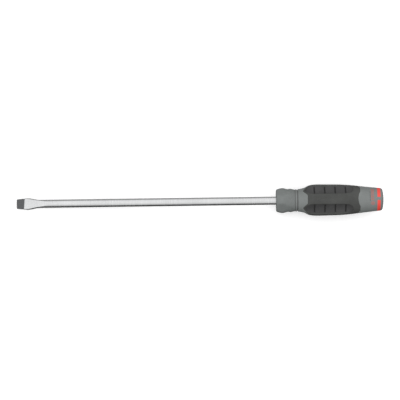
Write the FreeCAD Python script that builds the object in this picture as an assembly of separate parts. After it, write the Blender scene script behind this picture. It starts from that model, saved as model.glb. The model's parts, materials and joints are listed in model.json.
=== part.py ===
import FreeCAD, Part
import math
import os

# Slotted keystone screwdriver, in millimetres.
# +X runs along the tool's axis from the blade's end to the handle's end, +Z is up.
# The origin is the middle of the blade's end face. The blade's flats face up and down.
# Positions along the handle are measured from its front face, at X = BLADE_REACH.

V = FreeCAD.Vector
ORIGIN = V(0, 0, 0)
AXIS = V(1, 0, 0)

# ---- driving dimensions ----
BLADE_REACH = 304.8         # length of the blade in front of the handle
BAR_R = 9.525 / 2           # round bar
HANDLE_LENGTH = 126.0
SIDES = 4                   # lands round the handle, with a flute between each two
LAND_ANGLES = [side * 360.0 / SIDES for side in range(SIDES)]
FLUTE_ANGLES = [angle + 180.0 / SIDES for angle in LAND_ANGLES]

# blade tip
TIP_HALF_WIDTH = 5.5
TIP_HALF_THICKNESS = 0.9
TIP_PARALLEL = 2.5          # length of the tip with parallel flats
FLARE_HALF_WIDTH = 6.8      # widest point of the keystone
FLARE_AT = 13.0
FLARE_END = 27.0            # here the forging is round again
TAPER_STATIONS = 8          # sections of the forging between those two places
FLAT_END = 38.0             # here the wedge flats have run out of the bar
FLAT_MID = (20.0, 2.35)     # a point half way up the slightly hollow flat
CLEAR = 1.0                 # how far a cutting shape passes the surface that it cuts

# tang, inside the handle
TANG_LENGTH = 98.0
TANG_CHAMFER = 1.2
WING_HALF_WIDTH = 7.4
WING_HALF_THICKNESS = 1.4
WING_ROOT = 2.8             # the fins start inside the bar, this far from the axis
WING_LENGTH = 12.0
WING_RAMP = 2.5
WING_PLACES = ((50.0, 0.0), (68.0, 90.0))   # start along the handle, turn about X
BARB_PLACES = (86.0, 89.5, 93.0)
BARB_WIDTH = 1.4
BARB_DEPTH = 0.5

# hard core
CORE_R = 9.5
CORE_START = 2.6
CORE_END = 111.5
KEY_HEIGHT = 1.5
KEY_WIDTH = 3.4
KEY_START = 34.0
KEY_END = 94.0

# bolster
BOLSTER_END = 21.8
BOLSTER_FACE_R = 11.7
BOLSTER_LIP = (0.5, 13.0)   # the rounding between the front face and the barrel
BOLSTER_PROFILE = [(1.9, 13.6), (7.8, 14.72), (11.9, 13.75), (14.1, 13.35),
                   (16.6, 13.8), (18.7, 13.4), (20.6, 12.95), (21.4, 12.95)]
BOLSTER_EDGE_R = 12.75      # radius of the barrel's chamfered rear edge
FLAT_REAR = (14.1, 13.35)   # the anti-roll flats end here, at their distance from the axis
FLAT_TILT = 2.0             # degrees, deeper towards the front face

# neck ring
RING_BASE_R = 12.5
RING_BEAD_R = 13.2
RING_BEAD = (22.8, 24.0)
BEAD_ROUNDING = 0.4
NECK_START = 25.8

# outline of the handle behind the neck ring
HANDLE_PROFILE = [(NECK_START, 13.3), (29.6, 13.75), (33.0, 14.75), (36.6, 16.35), (39.6, 17.45),
                  (43.0, 18.0), (58.0, 18.15), (75.0, 17.85), (92.4, 16.45), (108.0, 14.75)]
SKIRT_END = 118.3           # the colour ring starts here
CAP_START = 122.0
CAP_START_R = 13.4
CAP_CORNER = ((124.15, 12.4), (125.1, 9.8))
CAP_DOME = ((125.8, 6.0), (HANDLE_LENGTH, 2.8))
PLUG_R = 9.3
RING_WEB_R = 11.0           # the colour ring is whole inside this radius
FINGER_WIDTH = 3.6          # cap fingers between the colour ring's four blocks

# soft grip
GRIP_PROUD = 0.2            # the soft grip stands this far above the hard plastic
GRIP_BASE_R = 12.4
LAND_FLAT = 0.2             # how deep the narrow flat along each soft land is cut
TONGUE_TIP = (36.6, 5.1)    # the hard tongues between the grip's front lobes: place, half width
TONGUE_ROOT = (31.6, 9.3)
TONGUE_ROUNDING = 1.3
REAR_EDGE = 98.3            # the grip's rear edge, with an arched notch on each land
NOTCH_DEPTH = 2.5
NOTCH_HALF_WIDTH = 8.7
REACH = 26.0                # further out than any surface of the handle

# flutes and their pads
FLUTE_R = 22.0
FLUTE_FLOOR_R = 14.9
FLUTE_END = 81.0            # the ball end's centre
PAD_STEP = 0.3              # the pad lies this far below the flute's wall
PAD_BASE_R = 13.0
PAD_POINT = 34.2            # the pad's front, shaped like an arrow's head
PAD_SHOULDER = (36.4, 4.5)
PAD_FULL = (41.0, 7.1)
PAD_REAR_HALF_WIDTH = 6.5
PAD_REAR = 89.8
GROOVE_FIRST = 44.6
GROOVE_PITCH = 12.2
GROOVES = 4
GROOVE_WIDTH = 1.5
GROOVE_DEPTH = 0.9


# ---- helpers ----
def on_handle(h, across=0.0, up=0.0):
    """A point at h along the handle."""
    return V(BLADE_REACH + h, across, up)


def turned(shape, angle):
    """A copy of shape turned about the tool's axis."""
    copy = shape.copy()
    copy.rotate(ORIGIN, AXIS, angle)
    return copy


def turned_set(shape, angles):
    return [turned(shape, angle) for angle in angles]


def along(radius, start, end, up=0.0):
    """A cylinder parallel to the axis between two places on the handle."""
    return Part.makeCylinder(radius, end - start, on_handle(start, 0, up), AXIS)


def revolved(edges):
    """The solid that a closed outline in the XZ plane sweeps round the axis."""
    return Part.Face(Part.Wire(edges)).revolve(ORIGIN, AXIS, 360)


def line(a, b):
    return Part.LineSegment(a, b).toShape()


def arc(a, b, c):
    return Part.Arc(a, b, c).toShape()


def spline(points):
    curve = Part.BSplineCurve()
    curve.interpolate(points)
    return curve.toShape()


def rounded_outline(points, radius):
    """A closed wire through the points; each comes with True where its corner is rounded."""
    edges = []
    joints = []
    count = len(points)
    for i, (corner, rounded) in enumerate(points):
        if not rounded:
            joints.append((corner, corner))
            continue
        before = (points[i - 1][0] - corner).normalize()
        after = (points[(i + 1) % count][0] - corner).normalize()
        half = before.getAngle(after) / 2
        first = corner + before * (radius / math.tan(half))
        last = corner + after * (radius / math.tan(half))
        inward = (before + after).normalize()
        middle = corner + inward * (radius / math.sin(half) - radius)
        edges.append(arc(first, middle, last))
        joints.append((first, last))
    for i in range(count):
        edges.append(line(joints[i][1], joints[(i + 1) % count][0]))
    return Part.Wire(Part.__sortEdges__(edges))


def prism(outline, low, high):
    """Outline, drawn in the XY plane, extruded upwards from low to high."""
    face = Part.Face(outline)
    face.translate(V(0, 0, low))
    return face.extrude(V(0, 0, high - low))


def one_solid(shape):
    """The shape's only solid, with its split faces joined."""
    solids = shape.removeSplitter().Solids
    if len(solids) != 1:
        raise ValueError("expected one solid and got %d" % len(solids))
    return solids[0]


# ---- blade ----
def forging_half_width(x):
    """Half width of the forged end, before the flats are ground."""
    if x < FLARE_AT:
        return TIP_HALF_WIDTH + (FLARE_HALF_WIDTH - TIP_HALF_WIDTH) * x / FLARE_AT
    u = min(1.0, (x - FLARE_AT) / (FLARE_END - FLARE_AT))
    return FLARE_HALF_WIDTH - (FLARE_HALF_WIDTH - BAR_R) * u * u * (3 - 2 * u)


def forging_section(x):
    """An ellipse with the bar's own area, or the flare's depth in front of it."""
    across = forging_half_width(x)
    depth = BAR_R ** 2 / max(across, forging_half_width(max(x, FLARE_AT)))
    if across - depth < 1e-6:
        return Part.Wire(Part.Circle(V(x, 0, 0), AXIS, BAR_R).toShape())
    tip = V(x, across, 0)
    side = V(x, 0, depth)
    return Part.Wire(Part.Ellipse(tip, side, V(x, 0, 0)).toShape())


def flat_cutter():
    """What is ground away above the blade's upper flat."""
    half_width = FLARE_HALF_WIDTH + CLEAR
    front = V(-CLEAR, 0, TIP_HALF_THICKNESS)
    bend = V(TIP_PARALLEL, 0, TIP_HALF_THICKNESS)
    middle = V(FLAT_MID[0], 0, FLAT_MID[1])
    end = V(FLAT_END, 0, BAR_R)
    top = [V(FLAT_END, 0, BAR_R + CLEAR), V(-CLEAR, 0, BAR_R + CLEAR)]
    outline = [line(front, bend), arc(bend, middle, end), line(end, top[0]), line(*top),
               line(top[1], front)]
    face = Part.Face(Part.Wire(outline))
    face.translate(V(0, -half_width, 0))
    return face.extrude(V(0, 2 * half_width, 0))


def wing(start, turn):
    """One pair of pinched fins that keeps the tang from turning in the core."""
    end = start + WING_LENGTH
    upper = [on_handle(start, WING_ROOT), on_handle(start, BAR_R),
             on_handle(start + WING_RAMP, WING_HALF_WIDTH),
             on_handle(end - WING_RAMP, WING_HALF_WIDTH), on_handle(end, BAR_R),
             on_handle(end, WING_ROOT)]
    lower = [V(p.x, -p.y, 0) for p in reversed(upper)]
    points = upper + lower
    outline = Part.makePolygon(points + points[:1])
    return turned(prism(outline, -WING_HALF_THICKNESS, WING_HALF_THICKNESS), turn)


def blade():
    taper = (FLARE_END - FLARE_AT) / TAPER_STATIONS
    places = [FLARE_AT + taper * i for i in range(TAPER_STATIONS + 2)]
    front = Part.makeLoft([forging_section(0), forging_section(FLARE_AT)], True, True)
    forging = front.fuse(Part.makeLoft([forging_section(x) for x in places], True, False))
    upper = flat_cutter()
    lower = upper.mirror(ORIGIN, V(0, 0, 1))
    bar_start = places[-1]
    bar_end = BLADE_REACH + TANG_LENGTH
    bar = Part.makeCylinder(BAR_R, bar_end - bar_start, V(bar_start, 0, 0), AXIS)
    rims = sorted((edge for edge in bar.Edges if edge.isClosed()), key=lambda e: e.CenterOfMass.x)
    bar = bar.makeChamfer(TANG_CHAMFER, rims[-1:])
    for place in BARB_PLACES:
        ring = along(BAR_R + CLEAR, place, place + BARB_WIDTH)
        bar = bar.cut(ring.cut(along(BAR_R - BARB_DEPTH, place, place + BARB_WIDTH)))
    whole = forging.fuse(bar).cut(upper).cut(lower)
    for start, turn in WING_PLACES:
        whole = whole.fuse(wing(start, turn))
    return one_solid(whole)


# ---- handle ----
def core(steel):
    """The first shot, moulded round the tang, with a key under each land."""
    body = along(CORE_R, CORE_START, CORE_END)
    key = Part.makeBox(KEY_END - KEY_START, KEY_WIDTH, CORE_R + KEY_HEIGHT,
                       on_handle(KEY_START, -KEY_WIDTH / 2, 0))
    for one in turned_set(key, LAND_ANGLES):
        body = body.fuse(one)
    return one_solid(body.cut(steel))


def bolster(inner):
    """The front moulding: a barrel with a small second swell and four anti-roll flats."""
    lip = on_handle(0, 0, BOLSTER_FACE_R)
    lip_middle = on_handle(BOLSTER_LIP[0], 0, BOLSTER_LIP[1])
    outer = [on_handle(h, 0, r) for h, r in BOLSTER_PROFILE]
    rear_edge = on_handle(BOLSTER_END, 0, BOLSTER_EDGE_R)
    edges = [line(on_handle(0), lip), arc(lip, lip_middle, outer[0]), spline(outer),
             line(outer[-1], rear_edge), line(rear_edge, on_handle(BOLSTER_END)),
             line(on_handle(BOLSTER_END), on_handle(0))]
    body = revolved(edges)
    rear, height = FLAT_REAR
    slab = Part.makeBox(REACH, REACH * 2, REACH, on_handle(rear - REACH, -REACH, height))
    slab.rotate(on_handle(rear, 0, height), V(0, 1, 0), -FLAT_TILT)
    for one in turned_set(slab, FLUTE_ANGLES):
        body = body.cut(one)
    return one_solid(body.cut(inner))


def neck_ring(inner):
    """The beaded ring between the bolster and the handle."""
    base = along(RING_BASE_R, BOLSTER_END, NECK_START)
    bead = along(RING_BEAD_R, *RING_BEAD)
    rims = [edge for edge in bead.Edges if edge.Length > RING_BEAD_R * math.pi]
    return one_solid(base.fuse(bead.makeFillet(BEAD_ROUNDING, rims)).cut(inner))


def handle_envelope(proud=0.0):
    """The handle from the neck to the cap, with no flutes, raised all over by proud."""
    outer = [on_handle(h, 0, r + proud) for h, r in HANDLE_PROFILE]
    outer.append(on_handle(CAP_START, 0, CAP_START_R + proud))
    edges = [line(on_handle(NECK_START), outer[0]), spline(outer),
             line(outer[-1], on_handle(CAP_START)), line(on_handle(CAP_START), on_handle(NECK_START))]
    return revolved(edges)


def land_cutter():
    """What is cut away above the top land, to leave it flat across and curved along."""
    outer = [on_handle(h, 0, r + GRIP_PROUD - LAND_FLAT) for h, r in HANDLE_PROFILE]
    front = on_handle(HANDLE_PROFILE[0][0], 0, REACH)
    rear = on_handle(HANDLE_PROFILE[-1][0], 0, REACH)
    edges = [spline(outer), line(outer[-1], rear), line(rear, front), line(front, outer[0])]
    face = Part.Face(Part.Wire(edges))
    face.translate(V(0, -REACH, 0))
    return face.extrude(V(0, 2 * REACH, 0))


def front_tongue():
    """The hard side of the grip's scalloped front edge, on the top land."""
    tip, tip_t = TONGUE_TIP
    root, root_t = TONGUE_ROOT
    left = [(on_handle(tip, tip_t), True), (on_handle(root, root_t), True),
            (on_handle(root, REACH), False), (on_handle(0, REACH), False)]
    right = [(V(p.x, -p.y, 0), rounded) for p, rounded in reversed(left)]
    return prism(rounded_outline(left + right, TONGUE_ROUNDING), 0, REACH)


def rear_notch():
    """The hard side of the grip's rear edge, on the top land."""
    left = on_handle(REAR_EDGE, NOTCH_HALF_WIDTH)
    right = on_handle(REAR_EDGE, -NOTCH_HALF_WIDTH)
    behind = on_handle(REAR_EDGE + NOTCH_DEPTH)
    edges = [arc(left, on_handle(REAR_EDGE - NOTCH_DEPTH), right), line(right, behind),
             line(behind, left)]
    return prism(Part.Wire(edges), 0, REACH)


def grip_blank(envelope):
    """The soft grip's whole volume: scalloped at both ends, and still without flutes."""
    hard = turned_set(front_tongue(), LAND_ANGLES) + turned_set(rear_notch(), LAND_ANGLES)
    hard += [along(REACH, REAR_EDGE, HANDLE_LENGTH), along(GRIP_BASE_R, 0, HANDLE_LENGTH)]
    for one in hard:
        envelope = envelope.cut(one)
    return one_solid(envelope)


def flute(radius):
    """A channel over the top of the handle, open at the front and with a ball end behind."""
    up = FLUTE_FLOOR_R + FLUTE_R
    channel = along(radius, 0, FLUTE_END, up)
    return channel.fuse(Part.makeSphere(radius, on_handle(FLUTE_END, 0, up)))


def pad_pocket():
    """The room for one flute pad, at the top of the handle: an arrow point and a round rear."""
    point = on_handle(PAD_POINT)
    left = [on_handle(*PAD_SHOULDER), on_handle(*PAD_FULL), on_handle(FLUTE_END, PAD_REAR_HALF_WIDTH)]
    right = [V(p.x, -p.y, 0) for p in left]
    edges = [line(point, left[0]), line(left[0], left[1]), line(left[1], left[2]),
             arc(left[2], on_handle(PAD_REAR), right[2]), line(right[2], right[1]),
             line(right[1], right[0]), line(right[0], point)]
    pocket = prism(Part.Wire(edges), 0, REACH)
    return pocket.cut(along(PAD_BASE_R, 0, HANDLE_LENGTH))


def flute_pad(envelope, pocket):
    """A ribbed soft pad, at the top of the handle."""
    pad = envelope.common(pocket).cut(flute(FLUTE_R + PAD_STEP))
    up = FLUTE_FLOOR_R + FLUTE_R
    for count in range(GROOVES):
        middle = GROOVE_FIRST + count * GROOVE_PITCH
        disc = along(FLUTE_R + PAD_STEP + GROOVE_DEPTH, middle - GROOVE_WIDTH / 2,
                     middle + GROOVE_WIDTH / 2, up)
        pad = pad.cut(disc)
    return one_solid(pad)


def cap_fingers(envelope):
    """Four blocks of the cap that reach forward between the colour ring's red blocks."""
    height = REACH - RING_WEB_R
    bar = Part.makeBox(CAP_START - SKIRT_END, FINGER_WIDTH, height,
                       on_handle(SKIRT_END, -FINGER_WIDTH / 2, RING_WEB_R))
    return [envelope.common(one) for one in turned_set(bar, LAND_ANGLES)]


def end_cap(fingers):
    """The domed cap and its plug, which fills the body's bore behind the core."""
    corner = on_handle(CAP_START, 0, CAP_START_R)
    (corner_h, corner_r), (dome_h, dome_r) = CAP_CORNER
    (crown_h, crown_r), (flat_h, flat_r) = CAP_DOME
    dome = on_handle(dome_h, 0, dome_r)
    flat = on_handle(flat_h, 0, flat_r)
    edges = [arc(corner, on_handle(corner_h, 0, corner_r), dome),
             arc(dome, on_handle(crown_h, 0, crown_r), flat),
             line(flat, on_handle(flat_h)), line(on_handle(flat_h), on_handle(CORE_END)),
             line(on_handle(CORE_END), on_handle(CORE_END, 0, PLUG_R)),
             line(on_handle(CORE_END, 0, PLUG_R), on_handle(CAP_START, 0, PLUG_R)),
             line(on_handle(CAP_START, 0, PLUG_R), corner)]
    return one_solid(revolved(edges).multiFuse(fingers))


def colour_ring(envelope, cap):
    """The red ring: a thin web and four blocks that show between the cap's fingers."""
    return one_solid(envelope.common(along(REACH, SKIRT_END, CAP_START)).cut(cap))


def build():
    parts = {}
    parts["blade"] = blade()
    parts["core"] = core(parts["blade"])
    inner = parts["core"].fuse(parts["blade"])
    parts["bolster"] = bolster(inner)
    parts["neck_ring"] = neck_ring(inner)
    envelope = handle_envelope()
    soft_envelope = handle_envelope(GRIP_PROUD)
    blank = grip_blank(soft_envelope)
    fingers = cap_fingers(envelope)
    parts["end_cap"] = end_cap(fingers)
    parts["colour_ring"] = colour_ring(envelope, parts["end_cap"])
    body = envelope.common(along(REACH, NECK_START, SKIRT_END)).cut(blank)
    parts["handle_body"] = one_solid(body.cut(inner).cut(parts["end_cap"]))
    pocket = pad_pocket()
    sleeve = blank
    for cutter in (flute(FLUTE_R), pocket):
        for one in turned_set(cutter, FLUTE_ANGLES):
            sleeve = sleeve.cut(one)
    for one in turned_set(land_cutter(), LAND_ANGLES):
        sleeve = sleeve.cut(one)
    parts["grip_sleeve"] = one_solid(sleeve)
    pad = flute_pad(soft_envelope, pocket)
    for number, one in enumerate(turned_set(pad, FLUTE_ANGLES), start=1):
        parts["flute_pad_%d" % number] = one
    return parts


def main():
    os.makedirs("parts", exist_ok=True)
    for name, shape in build().items():
        if not shape.isValid():
            raise ValueError("%s is not a valid solid" % name)
        shape.exportStep("parts/%s.step" % name)
        print("%-14s volume %9.1f mm3" % (name, shape.Volume))


main()
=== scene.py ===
import json
import math

import bmesh
import bpy
from mathutils import Matrix, Vector
from mathutils.bvhtree import BVHTree

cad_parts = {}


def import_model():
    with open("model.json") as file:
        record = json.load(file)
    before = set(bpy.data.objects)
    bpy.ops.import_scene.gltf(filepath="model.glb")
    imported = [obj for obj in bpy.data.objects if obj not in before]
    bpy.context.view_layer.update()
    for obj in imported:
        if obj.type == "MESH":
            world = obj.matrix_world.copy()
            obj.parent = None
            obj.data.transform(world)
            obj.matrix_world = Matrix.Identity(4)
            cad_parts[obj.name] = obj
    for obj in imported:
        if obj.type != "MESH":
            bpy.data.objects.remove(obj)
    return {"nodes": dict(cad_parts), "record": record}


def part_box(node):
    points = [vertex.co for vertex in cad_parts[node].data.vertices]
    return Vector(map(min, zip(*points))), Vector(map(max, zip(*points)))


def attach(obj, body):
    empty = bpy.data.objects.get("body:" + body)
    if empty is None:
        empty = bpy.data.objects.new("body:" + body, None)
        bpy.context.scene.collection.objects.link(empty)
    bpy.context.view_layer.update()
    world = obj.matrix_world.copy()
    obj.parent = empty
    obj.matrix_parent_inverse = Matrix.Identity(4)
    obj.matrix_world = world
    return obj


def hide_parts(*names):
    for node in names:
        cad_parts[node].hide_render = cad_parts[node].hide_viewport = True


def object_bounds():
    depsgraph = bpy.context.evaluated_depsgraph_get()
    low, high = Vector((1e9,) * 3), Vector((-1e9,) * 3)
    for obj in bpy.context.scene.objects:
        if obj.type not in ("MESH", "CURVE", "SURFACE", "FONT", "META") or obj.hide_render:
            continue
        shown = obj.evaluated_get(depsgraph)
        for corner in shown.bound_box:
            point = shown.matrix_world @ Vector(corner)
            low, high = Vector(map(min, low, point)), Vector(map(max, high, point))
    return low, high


# A slotted screwdriver on a pale floor. Lengths are in metres, in the CAD model's own frame:
# X along the tool from the blade's tip to the handle's end, Z up, the blade's flats facing Z.

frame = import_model()
CAD_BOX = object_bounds()
NODES = frame["nodes"]
MM = 0.001

TOOL_END = CAD_BOX[1].x
HANDLE_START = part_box("bolster")[0].x

# ---- camera ----
VIEW_ELEVATION = 85.7       # degrees above the horizon, looking along +Y
VIEW_ROLL = -0.78           # degrees
LENS_MM = 200.0
SENSOR_MM = 36.0
FRAME_WIDTH = TOOL_END * 1.0917
AXIS_BELOW_CENTRE = 2.0 * MM
CLIP_START = 0.1
CLIP_END = 4                # times the camera's distance

# ---- light and floor ----
LIGHT_STRENGTH = 1.45
# brightness by the height of a direction, from -1 straight down to 1 straight up
LIGHT_FROM_FRONT = [(-1.0, 0.03), (-0.15, 0.05), (0.08, 0.18), (0.35, 0.62), (1.0, 0.88)]
LIGHT_FROM_BACK = [(-1.0, 0.3), (-0.15, 0.3), (0.1, 0.5), (0.35, 0.86), (1.0, 0.92)]
FLOOR_GLOW = 0.32
FLOOR_HALF_SIZE = 30.0
FLOOR_COLOUR = (0.9, 0.9, 0.9, 1)
FLOOR_ROUGH = 0.9
CONTACT_ROUNDS = 4          # rounds of search for the floor's two contacts

# most of a noise lies between these values
NOISE_LOW = 0.3
NOISE_HIGH = 0.7

# ---- steel ----
BLACK_LENGTH = 8.9 * MM     # the black tip's length on the axis
BLACK_SLANT = 0.07
BLACK_RAGGED = 0.5 * MM
BLACK_FADE = 0.35 * MM
BLACK_ROUGH = (0.42, 0.42, 0.42)
CHIPS = (0.66, 0.72)        # wear noise over these values starts to bare the steel, and bares it
CHIP_SHINE = 0.5
CHROME_DARK = (0.52, 0.525, 0.53)
CHROME_LIGHT = (0.635, 0.64, 0.645)
CHROME_TINTS = (0.4, 0.6)   # the mixed noises' values where the chrome is dark and light
CHROME_ROUGH = (0.12, 0.3)
OXIDE_DARK = (0.05, 0.052, 0.055)
OXIDE_LIGHT = (0.085, 0.087, 0.09)
CROSS_LINES = (5000.0, 90.0, 90.0)      # noise cells to a metre along X, Y and Z
STREAKS = (30.0, 2500.0, 2500.0)
STEEL_CLOUD = 25.0
WEAR = (900.0, 4.0, 0.7)    # a noise's scale, detail and roughness
CLOUD_TINT = 0.35           # shares of the noises in the chrome's colour
LINE_TINT = 0.5
STREAK_TINT = 0.15
STREAK_SHARE = 0.4          # how much the streaks count in the relief
MARK_DEPTH = 0.006 * MM
GROUND_END = (30.0 * MM, 40.0 * MM)     # the grinding marks on the flats are deep up to here
GROUND_DEPTH = 2.5

# ---- plastics ----
CLOUD = (60.0, 3.0)         # noises, each with its scale, detail and roughness if it has its own
GRIT = (1900.0, 3.0, 0.6)
CLOUD_SHARE = 0.55
GRIT_SHARE = 0.45
MOTTLE = (0.38, 0.62)       # the mottle's noise values where the colour is dark and light
GRIT_ROUGH = 0.1
FINE_SCRATCHES = (0.5, (160.0, 4500.0, 4500.0))         # lean in radians, and cells to a metre
LONG_SCRATCHES = (-0.25, (60.0, 2600.0, 2600.0))
SCRATCH_FROM = 0.69         # noise over this value starts a scratch, and over the next fills it
SCRATCH_FULL = 0.75
SCRATCH_GAIN = 1.9          # a scratch has the light colour times this, and the lift added
SCRATCH_LIFT = 0.02
SOFT = {"rough": (0.55, 0.72), "scuff": 0.12, "gloss": 0.2}
PRINTED = {"grain": 0.005 * MM, "rough": (0.35, 0.5), "scuff": 0.1}
RING_GREY = (0.2, 0.213, 0.209)
# painted shade: the darker colour given to the neck ring's grooves, below the groove radius
RING_GROOVE_SHADE = (0.095, 0.1, 0.097)
RING_GROOVE_R = 12.5 * MM
RING_EDGE = 0.5 * MM
RING_GRIT = 2500.0
RING_ROUGH = (0.4, 0.55)
RING_GRAIN = 0.02 * MM
RING_SHADE_GAIN = 1.3            # the lightest over the darkest of the painted shade in the ring's grooves
PAD_GROOVE_SHADE = (0.03, 0.03, 0.03)  # painted shade in the pads' grooves, and how far from a groove's middle it ends
GROOVE_SHADE_INNER = 0.55 * MM
GROOVE_SHADE_OUTER = 0.85 * MM

# ---- shapes on the handle: millimetres along it from its front face, and across it ----
FLUTE_ANGLES = [math.radians(45 + 90 * side) for side in range(4)]

BOLSTER_END = 21.8
BOLSTER_PROFILE = [(0.0, 11.7), (0.15, 12.35), (0.5, 13.0), (1.1, 13.38), (1.9, 13.6), (4.7, 14.35),
                   (7.8, 14.72), (11.9, 13.75), (14.1, 13.35), (16.6, 13.8), (18.7, 13.4),
                   (20.6, 12.95), (21.4, 12.95), (BOLSTER_END, 12.75)]
BOLSTER_BORE = 4.9
FLAT_REAR = (14.1, 13.35)   # the anti-roll flats end here, at their distance from the axis
FLAT_TILT = math.radians(2)
FLAT_EDGE = 0.7             # how softly the flats run into the barrel
FLAT_FADE = 3.0             # the softness reaches this far behind them
BOLSTER_COLUMNS = [(360, 1.25)]         # the mesh's columns, as (end, spacing) in degrees
BOLSTER_ROWS = [(2.0, 0.1), (BOLSTER_END - 0.6, 0.35), (BOLSTER_END, 0.1)]

GRIP_FRONT = 31.6           # the sleeve between the hard tongues
GRIP_REAR = 98.3
GRIP_PROUD = 0.2
GRIP_BORE = 12.4
LAND_FLAT = 0.2             # how deep the narrow flat along each land is
TONGUE_TIP = (36.6, 5.1)    # place and half width
TONGUE_ROOT = (31.6, 9.3)
TONGUE_ROUNDING = 1.2
START_ROUNDS = 8            # rounds of search for the sleeve's front edge
NOTCH_DEPTH = 2.5
NOTCH_HALF_WIDTH = 8.7
NOTCH_ROUNDING = 0.6
SEAM = 0.05                 # how far the sleeve's edge reaches under the hard plastic's
GRIP_EDGE = 0.38            # roundings of edges
FLUTE_EDGE = 0.5
PAD_EDGE = 0.4

FLUTE_AXIS = 36.9           # the flute's axis is this far from the tool's
FLUTE_R = 22.0
FLUTE_END = 81.0            # the centre of the ball that ends it
PAD_STEP = 0.3              # the pad lies this far below the flute's wall
PAD_BASE = 13.2
PAD_POINT = 34.2
PAD_SHOULDER = (36.4, 4.5)
PAD_FULL = (41.0, 7.1)
PAD_REAR_HALF_WIDTH = 6.5
PAD_REAR = 89.8
POINT_HALF_WIDTH = 0.35
PAD_CORNERS = (1.0, 0.5, 0.1)           # roundings between point, cheek, side and rear
SLOPE_STEP = 0.1            # the outline's slope is measured this far to each side
POCKET_DEPTH = 1.9          # how deep the sleeve passes under the pad, and how softly it gets there
POCKET_LIP = 0.25
GROOVE_FIRST = 44.6
GROOVE_PITCH = 12.2
GROOVES = 4
GROOVE_HALF_WIDTH = 0.75
GROOVE_DEPTH = 0.9
GROOVE_SLOPE = 0.3
GROOVE_ZONE = 1.3           # half of the stretch where the pad's mesh is fine
GROOVE_ROW = 0.1            # spacing of the mesh's rows there
RIB_MARGIN = 1.0            # between that stretch and the wide rows of a rib
RIB_ROW = 1.0
POINT_ROWS = [(PAD_POINT + 0.5, 0.1), (PAD_FULL[0], 0.3)]
REAR_START = PAD_REAR - 3
REAR_ROWS = [(PAD_REAR - 0.4, 0.2), (PAD_REAR - 0.02, 0.04)]
PAD_COLUMNS = [(0.8, 0.08), (0.93, 0.026), (1.0, 0.01)]     # in shares of the half width

REACH = 26.0                # further out than any surface of the handle
LAND_SPACING = 2.5          # between the places where a land's radius is measured
FRONT_ZONE = 11.0           # where the rows of the sleeve's mesh bend to follow its edges
REAR_ZONE = 8.0
GRIP_COLUMNS = [(20, 1.0), (29, 0.45), (45, 0.85)]          # degrees from a flute's middle
GRIP_ROWS = [(GRIP_FRONT + 0.6, 0.1), (GRIP_FRONT + FRONT_ZONE, 0.28), (FLUTE_END, 0.7),
             (GRIP_REAR - REAR_ZONE, 0.35), (GRIP_REAR - 0.6, 0.35), (GRIP_REAR, 0.1)]
SHARP_ANGLE = math.radians(50)          # faces that meet at more than this have a sharp edge

# ---- print on the rear collar ----
INK_PROUD = 0.05            # the ink's surface over the plastic's, and its underside below it
INK_SUNK = 0.05
INK_WIDTH = 0.5             # of the sign's lines
SIGN_PLACE = 113.0
SIGN_ANGLE = math.radians(22)
SIGN_R = 1.65
SIGN_STEPS = 40
DASH_PLACE = 111.2
DASH_PITCH = 1.25
DASH_WIDTH = 0.5
DASH_START = math.radians(-54)
DASH_UNIT = math.radians(2.6)
DASH_STEPS = 4
DASH_ROWS = [(7, 4, 7, 3), (5, 8, 4, 4), (9, 3, 5, 4)]  # lengths in units, with gaps of one
DARK_PLACE = 109.7
DARK_START = math.radians(-36)
DARK_ROW = (5, 7, 4)


# ---- node helpers ----
def new_material(name):
    """A material with a Principled shader, and its nodes, links and shader."""
    material = bpy.data.materials.new(name)
    material.use_nodes = True
    nodes = material.node_tree.nodes
    links = material.node_tree.links
    return material, nodes, links, nodes["Principled BSDF"]


def object_position(nodes):
    return nodes.new("ShaderNodeTexCoord").outputs["Object"]


def noise(nodes, links, vector, scale, detail=2.0, roughness=0.5):
    node = nodes.new("ShaderNodeTexNoise")
    node.inputs["Scale"].default_value = scale
    node.inputs["Detail"].default_value = detail
    node.inputs["Roughness"].default_value = roughness
    links.new(vector, node.inputs["Vector"])
    return node.outputs["Fac"]


def stretched(nodes, links, vector, scale):
    node = nodes.new("ShaderNodeMapping")
    node.inputs["Scale"].default_value = scale
    links.new(vector, node.inputs["Vector"])
    return node.outputs["Vector"]


def ramp(nodes, links, value, stops):
    """A colour ramp through (place, colour) stops."""
    node = nodes.new("ShaderNodeValToRGB")
    elements = node.color_ramp.elements
    while len(elements) < len(stops):
        elements.new(0.5)
    for element, (place, colour) in zip(elements, stops):
        element.position = place
        element.color = (*colour, 1.0)
    links.new(value, node.inputs["Fac"])
    return node.outputs["Color"]


def spread(nodes, links, value, low, high):
    """Maps a noise's usual values to the range from low to high."""
    node = nodes.new("ShaderNodeMapRange")
    node.inputs["From Min"].default_value = NOISE_LOW
    node.inputs["From Max"].default_value = NOISE_HIGH
    node.inputs["To Min"].default_value = low
    node.inputs["To Max"].default_value = high
    links.new(value, node.inputs["Value"])
    return node.outputs["Result"]


def maths(nodes, links, operation, *values):
    """A Math node over sockets and numbers."""
    node = nodes.new("ShaderNodeMath")
    node.operation = operation
    for value, socket in zip(values, node.inputs):
        if isinstance(value, float):
            socket.default_value = value
        else:
            links.new(value, socket)
    return node.outputs["Value"]


def mixed(nodes, links, factor, first, second):
    """From the first colour to the second as the factor goes from 0 to 1."""
    node = nodes.new("ShaderNodeMix")
    node.data_type = "RGBA"
    links.new(factor, node.inputs["Factor"])
    for colour, socket in ((first, node.inputs["A"]), (second, node.inputs["B"])):
        if isinstance(colour, tuple):
            socket.default_value = (*colour, 1.0)
        else:
            links.new(colour, socket)
    return node.outputs["Result"]


def split(nodes, links, vector):
    node = nodes.new("ShaderNodeSeparateXYZ")
    links.new(vector, node.inputs["Vector"])
    return node.outputs


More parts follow.
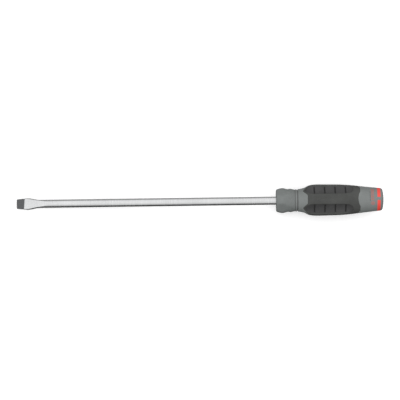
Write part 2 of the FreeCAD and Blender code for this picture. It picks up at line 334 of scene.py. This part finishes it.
def between(nodes, links, value, low, high):
    """0 where the value is under low, 1 over high, and smooth between."""
    node = nodes.new("ShaderNodeMapRange")
    node.interpolation_type = "SMOOTHSTEP"
    node.inputs["From Min"].default_value = low
    node.inputs["From Max"].default_value = high
    links.new(value, node.inputs["Value"])
    return node.outputs["Result"]


def bump(nodes, links, shader, height, distance):
    node = nodes.new("ShaderNodeBump")
    node.inputs["Distance"].default_value = distance
    links.new(height, node.inputs["Height"])
    links.new(node.outputs["Normal"], shader.inputs["Normal"])


# ---- materials ----
def scratches(nodes, links, position, lean, scale):
    """Thin scratches along X, leaning by an angle about Z: 1 in a scratch, 0 elsewhere."""
    turned = nodes.new("ShaderNodeMapping")
    turned.inputs["Rotation"].default_value = (0.0, 0.0, lean)
    links.new(position, turned.inputs["Vector"])
    lines = noise(nodes, links, stretched(nodes, links, turned.outputs["Vector"], scale), 1.0, 1.0)
    return between(nodes, links, lines, SCRATCH_FROM, SCRATCH_FULL)


def moulded_plastic(name, dark, light, grain=0.03 * MM, rough=(0.36, 0.52), scuff=0.25, gloss=0.45):
    """Moulded plastic or rubber: mottled, with a fine eroded grain, and scuffed by use."""
    material, nodes, links, shader = new_material(name)
    position = object_position(nodes)
    cloud = noise(nodes, links, position, *CLOUD)
    grit = noise(nodes, links, position, *GRIT)
    mottle = maths(nodes, links, "ADD", maths(nodes, links, "MULTIPLY", cloud, CLOUD_SHARE),
                   maths(nodes, links, "MULTIPLY", grit, GRIT_SHARE))
    colour = ramp(nodes, links, mottle, [(MOTTLE[0], dark), (MOTTLE[1], light)])
    fine = scratches(nodes, links, position, *FINE_SCRATCHES)
    long = scratches(nodes, links, position, *LONG_SCRATCHES)
    marks = maths(nodes, links, "MULTIPLY", maths(nodes, links, "MAXIMUM", fine, long), scuff)
    pale = tuple(min(1.0, SCRATCH_GAIN * channel + SCRATCH_LIFT) for channel in light)
    links.new(mixed(nodes, links, marks, colour, pale), shader.inputs["Base Color"])
    links.new(maths(nodes, links, "ADD", spread(nodes, links, cloud, *rough),
                    maths(nodes, links, "MULTIPLY", grit, GRIT_ROUGH)), shader.inputs["Roughness"])
    shader.inputs["Specular IOR Level"].default_value = gloss
    bump(nodes, links, shader, maths(nodes, links, "SUBTRACT", grit, marks), grain)
    return material


def chrome_steel():
    """Bright bar with fine cross lines and streaks, and a black tip with a slanted, worn edge."""
    material, nodes, links, shader = new_material("chromed_steel")
    position = object_position(nodes)
    axes = split(nodes, links, position)
    lines = noise(nodes, links, stretched(nodes, links, position, CROSS_LINES), 1.0, 3.0)
    streaks = noise(nodes, links, stretched(nodes, links, position, STREAKS), 1.0, 3.0)
    cloud = noise(nodes, links, position, STEEL_CLOUD)
    wear = noise(nodes, links, position, *WEAR)

    slant = maths(nodes, links, "MULTIPLY", axes["Y"], BLACK_SLANT)
    ragged = maths(nodes, links, "MULTIPLY", wear, BLACK_RAGGED)
    edge = maths(nodes, links, "SUBTRACT", maths(nodes, links, "SUBTRACT", axes["X"], slant), ragged)
    bare = between(nodes, links, edge, BLACK_LENGTH - BLACK_FADE, BLACK_LENGTH)
    chips = between(nodes, links, wear, *CHIPS)
    shine = maths(nodes, links, "MAXIMUM", bare, maths(nodes, links, "MULTIPLY", chips, CHIP_SHINE))

    shade = maths(nodes, links, "ADD", maths(nodes, links, "MULTIPLY", cloud, CLOUD_TINT),
                  maths(nodes, links, "ADD", maths(nodes, links, "MULTIPLY", lines, LINE_TINT),
                        maths(nodes, links, "MULTIPLY", streaks, STREAK_TINT)))
    chrome = ramp(nodes, links, shade, [(CHROME_TINTS[0], CHROME_DARK), (CHROME_TINTS[1], CHROME_LIGHT)])
    oxide = ramp(nodes, links, wear, [(NOISE_LOW, OXIDE_DARK), (NOISE_HIGH, OXIDE_LIGHT)])
    links.new(mixed(nodes, links, shine, oxide, chrome), shader.inputs["Base Color"])
    links.new(shine, shader.inputs["Metallic"])
    polish = spread(nodes, links, lines, *CHROME_ROUGH)
    links.new(mixed(nodes, links, bare, BLACK_ROUGH, polish), shader.inputs["Roughness"])
    marks = maths(nodes, links, "ADD", lines, maths(nodes, links, "MULTIPLY", streaks, STREAK_SHARE))
    ground = maths(nodes, links, "SUBTRACT", 1.0, between(nodes, links, axes["X"], *GROUND_END))
    deeper = maths(nodes, links, "ADD", 1.0, maths(nodes, links, "MULTIPLY", ground, GROUND_DEPTH))
    bump(nodes, links, shader, maths(nodes, links, "MULTIPLY", marks, deeper), MARK_DEPTH)
    return material


def grooved_plastic(name, plain, dark, groove_radius):
    """Moulded plastic round the X axis, with shade painted below a radius, into its grooves."""
    material, nodes, links, shader = new_material(name)
    position = object_position(nodes)
    axes = split(nodes, links, position)
    squares = [maths(nodes, links, "POWER", axes[axis], 2.0) for axis in ("Y", "Z")]
    radius = maths(nodes, links, "SQRT", maths(nodes, links, "ADD", *squares))
    raised = between(nodes, links, radius, groove_radius, groove_radius + RING_EDGE)
    grit = noise(nodes, links, position, RING_GRIT)
    lighter = tuple(RING_SHADE_GAIN * channel for channel in dark)
    # painted shade: a darker colour in the grooves, where shade falls
    groove_shade = ramp(nodes, links, grit, [(NOISE_LOW, dark), (NOISE_HIGH, lighter)])
    links.new(mixed(nodes, links, raised, groove_shade, plain), shader.inputs["Base Color"])
    links.new(spread(nodes, links, grit, *RING_ROUGH), shader.inputs["Roughness"])
    bump(nodes, links, shader, grit, RING_GRAIN)
    return material


def shade_pad_grooves(material):
    """Paints shade into the cross grooves of the pads: their colour is darker there."""
    nodes = material.node_tree.nodes
    links = material.node_tree.links
    shader = nodes["Principled BSDF"]
    colour = shader.inputs["Base Color"].links[0].from_socket
    along = split(nodes, links, object_position(nodes))["X"]
    start = maths(nodes, links, "SUBTRACT", along, HANDLE_START + GROOVE_FIRST * MM)
    away = maths(nodes, links, "PINGPONG", start, GROOVE_PITCH * MM / 2)
    unshaded = between(nodes, links, away, GROOVE_SHADE_INNER, GROOVE_SHADE_OUTER)
    links.new(mixed(nodes, links, unshaded, PAD_GROOVE_SHADE, colour), shader.inputs["Base Color"])


GREY = moulded_plastic("grey_plastic", (0.156, 0.168, 0.164), (0.19, 0.203, 0.199))
# the same grey plastic as the rest of the handle, painted darker on the bolster as shade; its heavier
# scuffs are wear
BOLSTER_SHADED_GREY = moulded_plastic("bolster_shaded_grey", (0.137, 0.148, 0.144), (0.17, 0.183, 0.179), scuff=0.35)
RUBBER = moulded_plastic("grip_rubber", (0.052, 0.0535, 0.051), (0.076, 0.078, 0.0745),
                         0.06 * MM, **SOFT)
PAD = moulded_plastic("pad_rubber", (0.046, 0.046, 0.047), (0.07, 0.07, 0.07), 0.05 * MM, **SOFT)
RED = moulded_plastic("red_plastic", (0.72, 0.045, 0.03), (0.87, 0.075, 0.055), scuff=0.12)
STEEL = chrome_steel()
RING = grooved_plastic("grooved_plastic", RING_GREY, RING_GROOVE_SHADE, RING_GROOVE_R)
INK = moulded_plastic("red_ink", (0.45, 0.09, 0.06), (0.52, 0.13, 0.1), **PRINTED)
DARK_INK = moulded_plastic("dark_ink", (0.05, 0.055, 0.055), (0.08, 0.085, 0.085), **PRINTED)
shade_pad_grooves(PAD)

FINISH = {"steel": STEEL, "core_red": RED, "grey_plastic": GREY, "grip_rubber": RUBBER,
          "pad_rubber": PAD, "red_plastic": RED}
MATERIAL_SLOTS = {entry["node"]: entry["material_slot"] for entry in frame["record"]["subparts"]}
for node, slot in MATERIAL_SLOTS.items():
    for material_slot in NODES[node].material_slots:
        material_slot.material = RING if node == "neck_ring" else FINISH[slot]


def handle_point(h, angle, radius):
    """A place in metres. Angles run from the top towards -Y."""
    return (HANDLE_START + h * MM, -radius * math.sin(angle) * MM, radius * math.cos(angle) * MM)


def soft_min(a, b, size):
    """The smaller of two values, with the corner where they cross rounded."""
    blend = max(size - abs(a - b), 0.0) / size
    return min(a, b) - blend * blend * size / 4


def step(value, width):
    """Rises smoothly from 0 to 1 while value goes from 0 to width."""
    x = min(max(value / width, 0.0), 1.0)
    return x * x * (3 - 2 * x)


def edge_drop(distance, radius):
    """How far a rounded edge lies below its surface, this far in from the edge."""
    x = min(max(distance / radius, 0.0), 1.0)
    return radius * (1 - math.sqrt(1 - (1 - x) ** 2))


def spaced(start, stretches):
    """Places from start on, with each stretch's (end, spacing)."""
    places = [start]
    for end, spacing in stretches:
        count = max(1, round((end - start) / spacing))
        places += [start + (end - start) * (i + 1) / count for i in range(count)]
        start = end
    return places


def curve_through(points, at):
    """A smooth curve's value: Hermite spans between (place, value) points."""
    last = len(points) - 1
    i = 0
    while i < last - 1 and points[i + 1][0] < at:
        i += 1

    def slope(j):
        before = points[max(j - 1, 0)]
        after = points[min(j + 1, last)]
        return (after[1] - before[1]) / (after[0] - before[0])

    (x0, y0), (x1, y1) = points[i], points[i + 1]
    span = x1 - x0
    t = min(max((at - x0) / span, 0.0), 1.0)
    rise = (2 * t ** 3 - 3 * t ** 2 + 1) * y0 + (3 * t ** 2 - 2 * t ** 3) * y1
    return rise + span * ((t ** 3 - 2 * t ** 2 + t) * slope(i) + (t ** 3 - t ** 2) * slope(i + 1))


def node_surface(node):
    mesh = NODES[node].data
    return BVHTree.FromPolygons([v.co for v in mesh.vertices], [p.vertices for p in mesh.polygons])


def radius_on(surface, h, angle):
    """The radius in millimetres of a surface, looked at from outside, or 0 where it has none."""
    start = Vector(handle_point(h, angle, REACH))
    middle = Vector(handle_point(h, angle, 0))
    hit = surface.ray_cast(start, (middle - start).normalized())[0]
    return (hit - middle).length / MM if hit else 0.0


def land_profile():
    """The hard handle's radius along the top, as the CAD solids have it under the soft grip's step."""
    hard = node_surface("handle_body")
    soft = node_surface("grip_sleeve")
    points = []
    for h in spaced(GRIP_FRONT - 4, [(GRIP_REAR + 4, LAND_SPACING)]):
        soft_radius = radius_on(soft, h, 0.0) - GRIP_PROUD + LAND_FLAT
        points.append((h, max(soft_radius, radius_on(hard, h, 0.0))))
    return points


LAND = land_profile()


def land_radius(h):
    return curve_through(LAND, h)


def flute_radius(h, turn):
    """The distance from the axis to a flute's wall, turned from its middle, or REACH outside it."""
    radius = FLUTE_R
    if h > FLUTE_END:
        radius = math.sqrt(max(radius ** 2 - (h - FLUTE_END) ** 2, 0.0))
    side = abs(FLUTE_AXIS * math.sin(turn))
    if side >= radius:
        return REACH
    return FLUTE_AXIS * math.cos(turn) - math.sqrt(radius ** 2 - side ** 2)


def pad_half_width(h):
    """Half the pad's width: an arrow point, long sides, and a round rear."""
    (shoulder, narrow), (full, wide) = PAD_SHOULDER, PAD_FULL
    point = POINT_HALF_WIDTH + (h - PAD_POINT) * narrow / (shoulder - PAD_POINT)
    cheek = narrow + (h - shoulder) * (wide - narrow) / (full - shoulder)
    side = wide - (h - full) * (wide - PAD_REAR_HALF_WIDTH) / (FLUTE_END - full)
    sagitta = PAD_REAR - FLUTE_END
    rear_r = (PAD_REAR_HALF_WIDTH ** 2 + sagitta ** 2) / (2 * sagitta)
    rear = math.sqrt(max(rear_r ** 2 - max(h - PAD_REAR + rear_r, 0.0) ** 2, 0.0))
    cheek_size, side_size, rear_size = PAD_CORNERS
    front = soft_min(point, cheek, cheek_size)
    return soft_min(soft_min(front, side, side_size), rear, rear_size)


def inside_pad(h, across):
    """How far inside the pad's outline a place lies, in millimetres."""
    width = pad_half_width(h)
    widening = pad_half_width(h + SLOPE_STEP) - pad_half_width(h - SLOPE_STEP)
    sideways = (width - abs(across)) / math.hypot(1.0, widening / (2 * SLOPE_STEP))
    return min(sideways, h - PAD_POINT, PAD_REAR - h)


def grip_start(turn):
    """The sleeve's front edge, turned from a land's middle: lobes between the hard tongues."""
    (tip, tip_half), (root, root_half) = TONGUE_TIP, TONGUE_ROOT
    place = root
    for _ in range(START_ROUNDS):
        across = land_radius(place) * math.sin(abs(turn))
        slant = tip - (across - tip_half) * (tip - root) / (root_half - tip_half)
        place = -soft_min(-soft_min(slant, tip, TONGUE_ROUNDING), -root, TONGUE_ROUNDING)
    return place - SEAM


def grip_end(turn):
    """The sleeve's rear edge, with an arched notch on each land."""
    across = land_radius(GRIP_REAR) * math.sin(abs(turn))
    arch_r = (NOTCH_HALF_WIDTH ** 2 + NOTCH_DEPTH ** 2) / (2 * NOTCH_DEPTH)
    arch = GRIP_REAR - NOTCH_DEPTH + arch_r - math.sqrt(max(arch_r ** 2 - across ** 2, 0.0))
    return soft_min(arch, GRIP_REAR, NOTCH_ROUNDING) + SEAM


def grip_radius(h, turn):
    """The sleeve's surface, turned from a flute's middle, before its ends are rounded."""
    round_radius = land_radius(h) + GRIP_PROUD
    flat_radius = (round_radius - LAND_FLAT) / math.cos(math.pi / 4 - abs(turn))
    radius = soft_min(round_radius, flat_radius, LAND_FLAT / 2)
    radius = soft_min(radius, flute_radius(h, turn), FLUTE_EDGE)
    inside = inside_pad(h, radius * math.sin(turn))
    return radius - POCKET_DEPTH * step(inside + POCKET_LIP, POCKET_LIP * 2)


def lofted(name, *solids):
    """A closed mesh of lofts, each through rings of points. A hollow one's last ring joins its first."""
    points = []
    faces = []
    for rings, hollow in solids:
        count = len(rings[0])
        first = len(points)
        points += [p for ring in rings for p in ring]
        for i in range(len(rings) if hollow else len(rings) - 1):
            here = first + i * count
            there = first + (i + 1) % len(rings) * count
            for j in range(count):
                k = (j + 1) % count
                faces.append((here + j, here + k, there + k, there + j))
        if not hollow:
            faces.append(tuple(range(first, first + count)))
            faces.append(tuple(range(len(points) - count, len(points))))
    mesh = bpy.data.meshes.new(name)
    mesh.from_pydata(points, [], faces)
    tidy = bmesh.new()
    tidy.from_mesh(mesh)
    bmesh.ops.recalc_face_normals(tidy, faces=tidy.faces)
    tidy.to_mesh(mesh)
    tidy.free()
    mesh.shade_smooth()
    mesh.set_sharp_from_angle(angle=SHARP_ANGLE)
    piece = bpy.data.objects.new(name, mesh)
    bpy.context.scene.collection.objects.link(piece)
    return piece


def stand_in(piece, node, material=None):
    """The piece takes the CAD node's place, with the finish of its slot or one of its own."""
    slot = MATERIAL_SLOTS[node]
    piece.data.materials.append(material or FINISH[slot])
    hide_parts(node)
    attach(piece, "root")


def grip_sleeve():
    """The soft grip: four lands and four flutes, with a lobe in front of each flute."""
    half = spaced(0.0, GRIP_COLUMNS)
    turns = [-turn for turn in reversed(half[1:])] + half[:-1]
    columns = [(flute, math.radians(turn)) for flute in FLUTE_ANGLES for turn in turns]
    spans = []
    for flute, turn in columns:
        from_land = math.pi / 4 - abs(turn)
        spans.append((grip_start(from_land), grip_end(from_land)))
    rings = []
    for row in spaced(GRIP_FRONT, GRIP_ROWS):
        ring = []
        for (flute, turn), (start, end) in zip(columns, spans):
            front = max(1 - (row - GRIP_FRONT) / FRONT_ZONE, 0.0)
            rear = max(1 - (GRIP_REAR - row) / REAR_ZONE, 0.0)
            h = row + (start - GRIP_FRONT) * front + (end - GRIP_REAR) * rear
            drop = edge_drop(min(h - start, end - h), GRIP_EDGE)
            ring.append(handle_point(h, flute + turn, grip_radius(h, turn) - drop))
        rings.append(ring)
    for at in (1, 0):
        rings.append([handle_point(span[at], flute + turn, GRIP_BORE)
                      for (flute, turn), span in zip(columns, spans)])
    stand_in(lofted("soft_grip", (rings, True)), "grip_sleeve")


def pad_groove(h):
    """How deep the pad's cross grooves are at this place."""
    depth = 0.0
    for count in range(GROOVES):
        away = abs(h - GROOVE_FIRST - count * GROOVE_PITCH)
        depth = max(depth, GROOVE_DEPTH * step(GROOVE_HALF_WIDTH - away + GROOVE_SLOPE / 2, GROOVE_SLOPE))
    return depth


def pad_height(h, across):
    """The pad's surface over the plane through the tool's axis."""
    radius = FLUTE_R + PAD_STEP + pad_groove(h)
    if h > FLUTE_END:
        radius = math.sqrt(radius ** 2 - (h - FLUTE_END) ** 2)
    channel = FLUTE_AXIS - math.sqrt(radius ** 2 - across ** 2)
    outside = math.sqrt((land_radius(h) + GRIP_PROUD) ** 2 - across ** 2)
    return soft_min(channel, outside, FLUTE_EDGE) - edge_drop(inside_pad(h, across), PAD_EDGE)


def flute_pad(number, flute):
    """A ribbed pad in a flute: rings across it, from its point to its round rear."""
    shares = spaced(0.0, PAD_COLUMNS)
    shares = [-share for share in reversed(shares[1:])] + shares
    rows = spaced(PAD_POINT, POINT_ROWS)
    for count in range(GROOVES):
        middle = GROOVE_FIRST + count * GROOVE_PITCH
        groove_end = middle + GROOVE_ZONE
        next_groove = middle + GROOVE_PITCH - GROOVE_ZONE
        rows += spaced(middle - GROOVE_ZONE, [(groove_end, GROOVE_ROW)])
        rows += spaced(groove_end + RIB_MARGIN, [(next_groove - RIB_MARGIN, RIB_ROW)])
    rows = [row for row in rows if row < REAR_START]
    rows = sorted(rows) + spaced(REAR_START, REAR_ROWS)
    rings = []
    for h in rows:
        width = pad_half_width(h)
        ring = []
        for share in shares:
            across = share * width
            ring.append((across, pad_height(h, across)))
        ring += [(width * share, PAD_BASE) for share in reversed(shares)]
        rings.append([handle_point(h, flute + math.atan2(x, z), math.hypot(x, z)) for x, z in ring])
    stand_in(lofted("soft_pad_%d" % number, (rings, False)), "flute_pad_%d" % number)


def bolster():
    """The front barrel, with four soft-edged flats."""
    columns = [math.radians(turn) for turn in spaced(0.0, BOLSTER_COLUMNS)][:-1]
    rings = []
    for h in spaced(0.0, BOLSTER_ROWS):
        barrel = curve_through(BOLSTER_PROFILE, h)
        flat = FLAT_REAR[1] + (h - FLAT_REAR[0]) * math.tan(FLAT_TILT)
        ring = []
        for angle in columns:
            turn = (angle % (math.pi / 2)) - math.pi / 4
            radius = barrel
            if h < FLAT_REAR[0] + FLAT_FADE:
                radius = soft_min(barrel, flat / math.cos(turn), FLAT_EDGE)
            ring.append(handle_point(h, angle, radius))
        rings.append(ring)
    for h in (BOLSTER_END, 0.0):
        rings.append([handle_point(h, angle, BOLSTER_BORE) for angle in columns])
    stand_in(lofted("front_bolster", (rings, True)), "bolster", BOLSTER_SHADED_GREY)


def ink_section(surface, h, angle, across_h, across_angle):
    """Four points of a printed line's cross-section, which lies across the line on the surface."""
    points = []
    for side, lift in ((-0.5, -INK_SUNK), (-0.5, INK_PROUD), (0.5, INK_PROUD), (0.5, -INK_SUNK)):
        place = h + side * across_h
        turn = angle + side * across_angle
        points.append(handle_point(place, turn, radius_on(surface, place, turn) + lift))
    return points


def printed_marks():
    """A slotted-screw sign and rows of plain dashes, printed on the rear collar."""
    surface = node_surface("handle_body")
    collar_r = radius_on(surface, SIGN_PLACE, SIGN_ANGLE)
    ring = []
    for i in range(SIGN_STEPS):
        turn = 2 * math.pi * i / SIGN_STEPS
        across, along = math.cos(turn), math.sin(turn)
        place = SIGN_PLACE + SIGN_R * across
        angle = SIGN_ANGLE + SIGN_R * along / collar_r
        ring.append(ink_section(surface, place, angle, INK_WIDTH * across, INK_WIDTH * along / collar_r))
    solids = [(ring, True)]
    half = (SIGN_R - INK_WIDTH / 2) / collar_r
    bar = [ink_section(surface, SIGN_PLACE, SIGN_ANGLE + half * share, INK_WIDTH, 0.0)
           for share in (-1.0, -0.5, 0.0, 0.5, 1.0)]
    solids.append((bar, False))
    for row, dashes in enumerate(DASH_ROWS):
        solids += dash_row(surface, DASH_PLACE + row * DASH_PITCH, DASH_START, dashes)
    printed("printed_marks", solids, INK)
    printed("printed_line", dash_row(surface, DARK_PLACE, DARK_START, DARK_ROW), DARK_INK)


def dash_row(surface, place, angle, dashes):
    """Plain dashes in a row round the collar; each number is a dash's length in units."""
    solids = []
    for dash in dashes:
        turns = [angle + dash * DASH_UNIT * i / DASH_STEPS for i in range(DASH_STEPS + 1)]
        solids.append(([ink_section(surface, place, turn, DASH_WIDTH, 0.0) for turn in turns], False))
        angle += (dash + 1) * DASH_UNIT
    return solids


def printed(name, solids, ink):
    piece = lofted(name, *solids)
    piece.data.materials.append(ink)
    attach(piece, "root")


bolster()
grip_sleeve()
printed_marks()
for number, flute in enumerate(FLUTE_ANGLES, start=1):
    flute_pad(number, flute)


# ---- surroundings ----
def underside(node):
    """The corners of a node's mesh below the axis, as (x, z)."""
    return [(v.co.x, v.co.z) for v in NODES[node].data.vertices if v.co.z < 0]


def floor_through_contacts():
    """A pale floor that the tool lies on: it touches the bar behind the blade's flats, and the grip."""
    bar = [point for point in underside("blade") if point[0] < HANDLE_START]
    grip = underside("grip_sleeve")
    rear = min(grip, key=lambda point: point[1])
    for _ in range(CONTACT_ROUNDS):
        front = min(bar, key=lambda point: (point[1] - rear[1]) / (rear[0] - point[0]))
        rear = min(grip, key=lambda point: (point[1] - front[1]) / (point[0] - front[0]))
    slope = math.atan2(front[1] - rear[1], rear[0] - front[0])
    mesh = bpy.data.meshes.new("floor")
    half = FLOOR_HALF_SIZE
    corners = [(-half, -half, 0), (half, -half, 0), (half, half, 0), (-half, half, 0)]
    mesh.from_pydata(corners, [], [(0, 1, 2, 3)])
    floor = bpy.data.objects.new("floor", mesh)
    bpy.context.scene.collection.objects.link(floor)
    floor.rotation_euler = (0, slope, 0)
    floor.location = (rear[0], 0, rear[1])
    material, nodes, links, shader = new_material("pale_floor")
    shader.inputs["Base Color"].default_value = FLOOR_COLOUR
    shader.inputs["Roughness"].default_value = FLOOR_ROUGH
    shader.inputs["Emission Color"].default_value = (1, 1, 1, 1)
    shader.inputs["Emission Strength"].default_value = FLOOR_GLOW
    mesh.materials.append(material)
    floor.visible_diffuse = False
    floor.visible_glossy = False


def world():
    """Soft studio light from all round: bright overhead, darker below, brighter from +Y."""
    made = bpy.data.worlds.new("studio")
    made.use_nodes = True
    nodes = made.node_tree.nodes
    links = made.node_tree.links
    direction = split(nodes, links, nodes.new("ShaderNodeTexCoord").outputs["Generated"])
    shades = []
    for stops in (LIGHT_FROM_FRONT, LIGHT_FROM_BACK):
        height = nodes.new("ShaderNodeMapRange")
        height.inputs["From Min"].default_value = -1.0
        links.new(direction["Z"], height.inputs["Value"])
        colours = [((z + 1) / 2, (level,) * 3) for z, level in stops]
        shades.append(ramp(nodes, links, height.outputs["Result"], colours))
    side = between(nodes, links, direction["Y"], -1.0, 1.0)
    background = nodes["Background"]
    links.new(mixed(nodes, links, side, *shades), background.inputs["Color"])
    background.inputs["Strength"].default_value = LIGHT_STRENGTH
    bpy.context.scene.world = made


def camera():
    """Looks almost straight down, with the tool's axis a little below the picture's middle."""
    data = bpy.data.cameras.new("camera")
    data.lens = LENS_MM
    data.sensor_width = SENSOR_MM
    distance = FRAME_WIDTH * LENS_MM / SENSOR_MM
    data.clip_start = CLIP_START
    data.clip_end = CLIP_END * distance
    made = bpy.data.objects.new("camera", data)
    tilt = math.radians(VIEW_ELEVATION)
    back = Vector((0, -math.cos(tilt), math.sin(tilt)))
    up = Vector((0, math.sin(tilt), math.cos(tilt)))
    target = Vector((TOOL_END / 2, 0, 0)) + up * AXIS_BELOW_CENTRE
    turn = Matrix((Vector((1, 0, 0)), up, back)).transposed().to_4x4()
    roll = Matrix.Rotation(math.radians(VIEW_ROLL), 4, "Z")
    made.matrix_world = Matrix.Translation(target + back * distance) @ turn @ roll
    bpy.context.scene.collection.objects.link(made)
    bpy.context.scene.camera = made


floor_through_contacts()
world()
camera()
bpy.context.scene.view_settings.view_transform = "Standard"
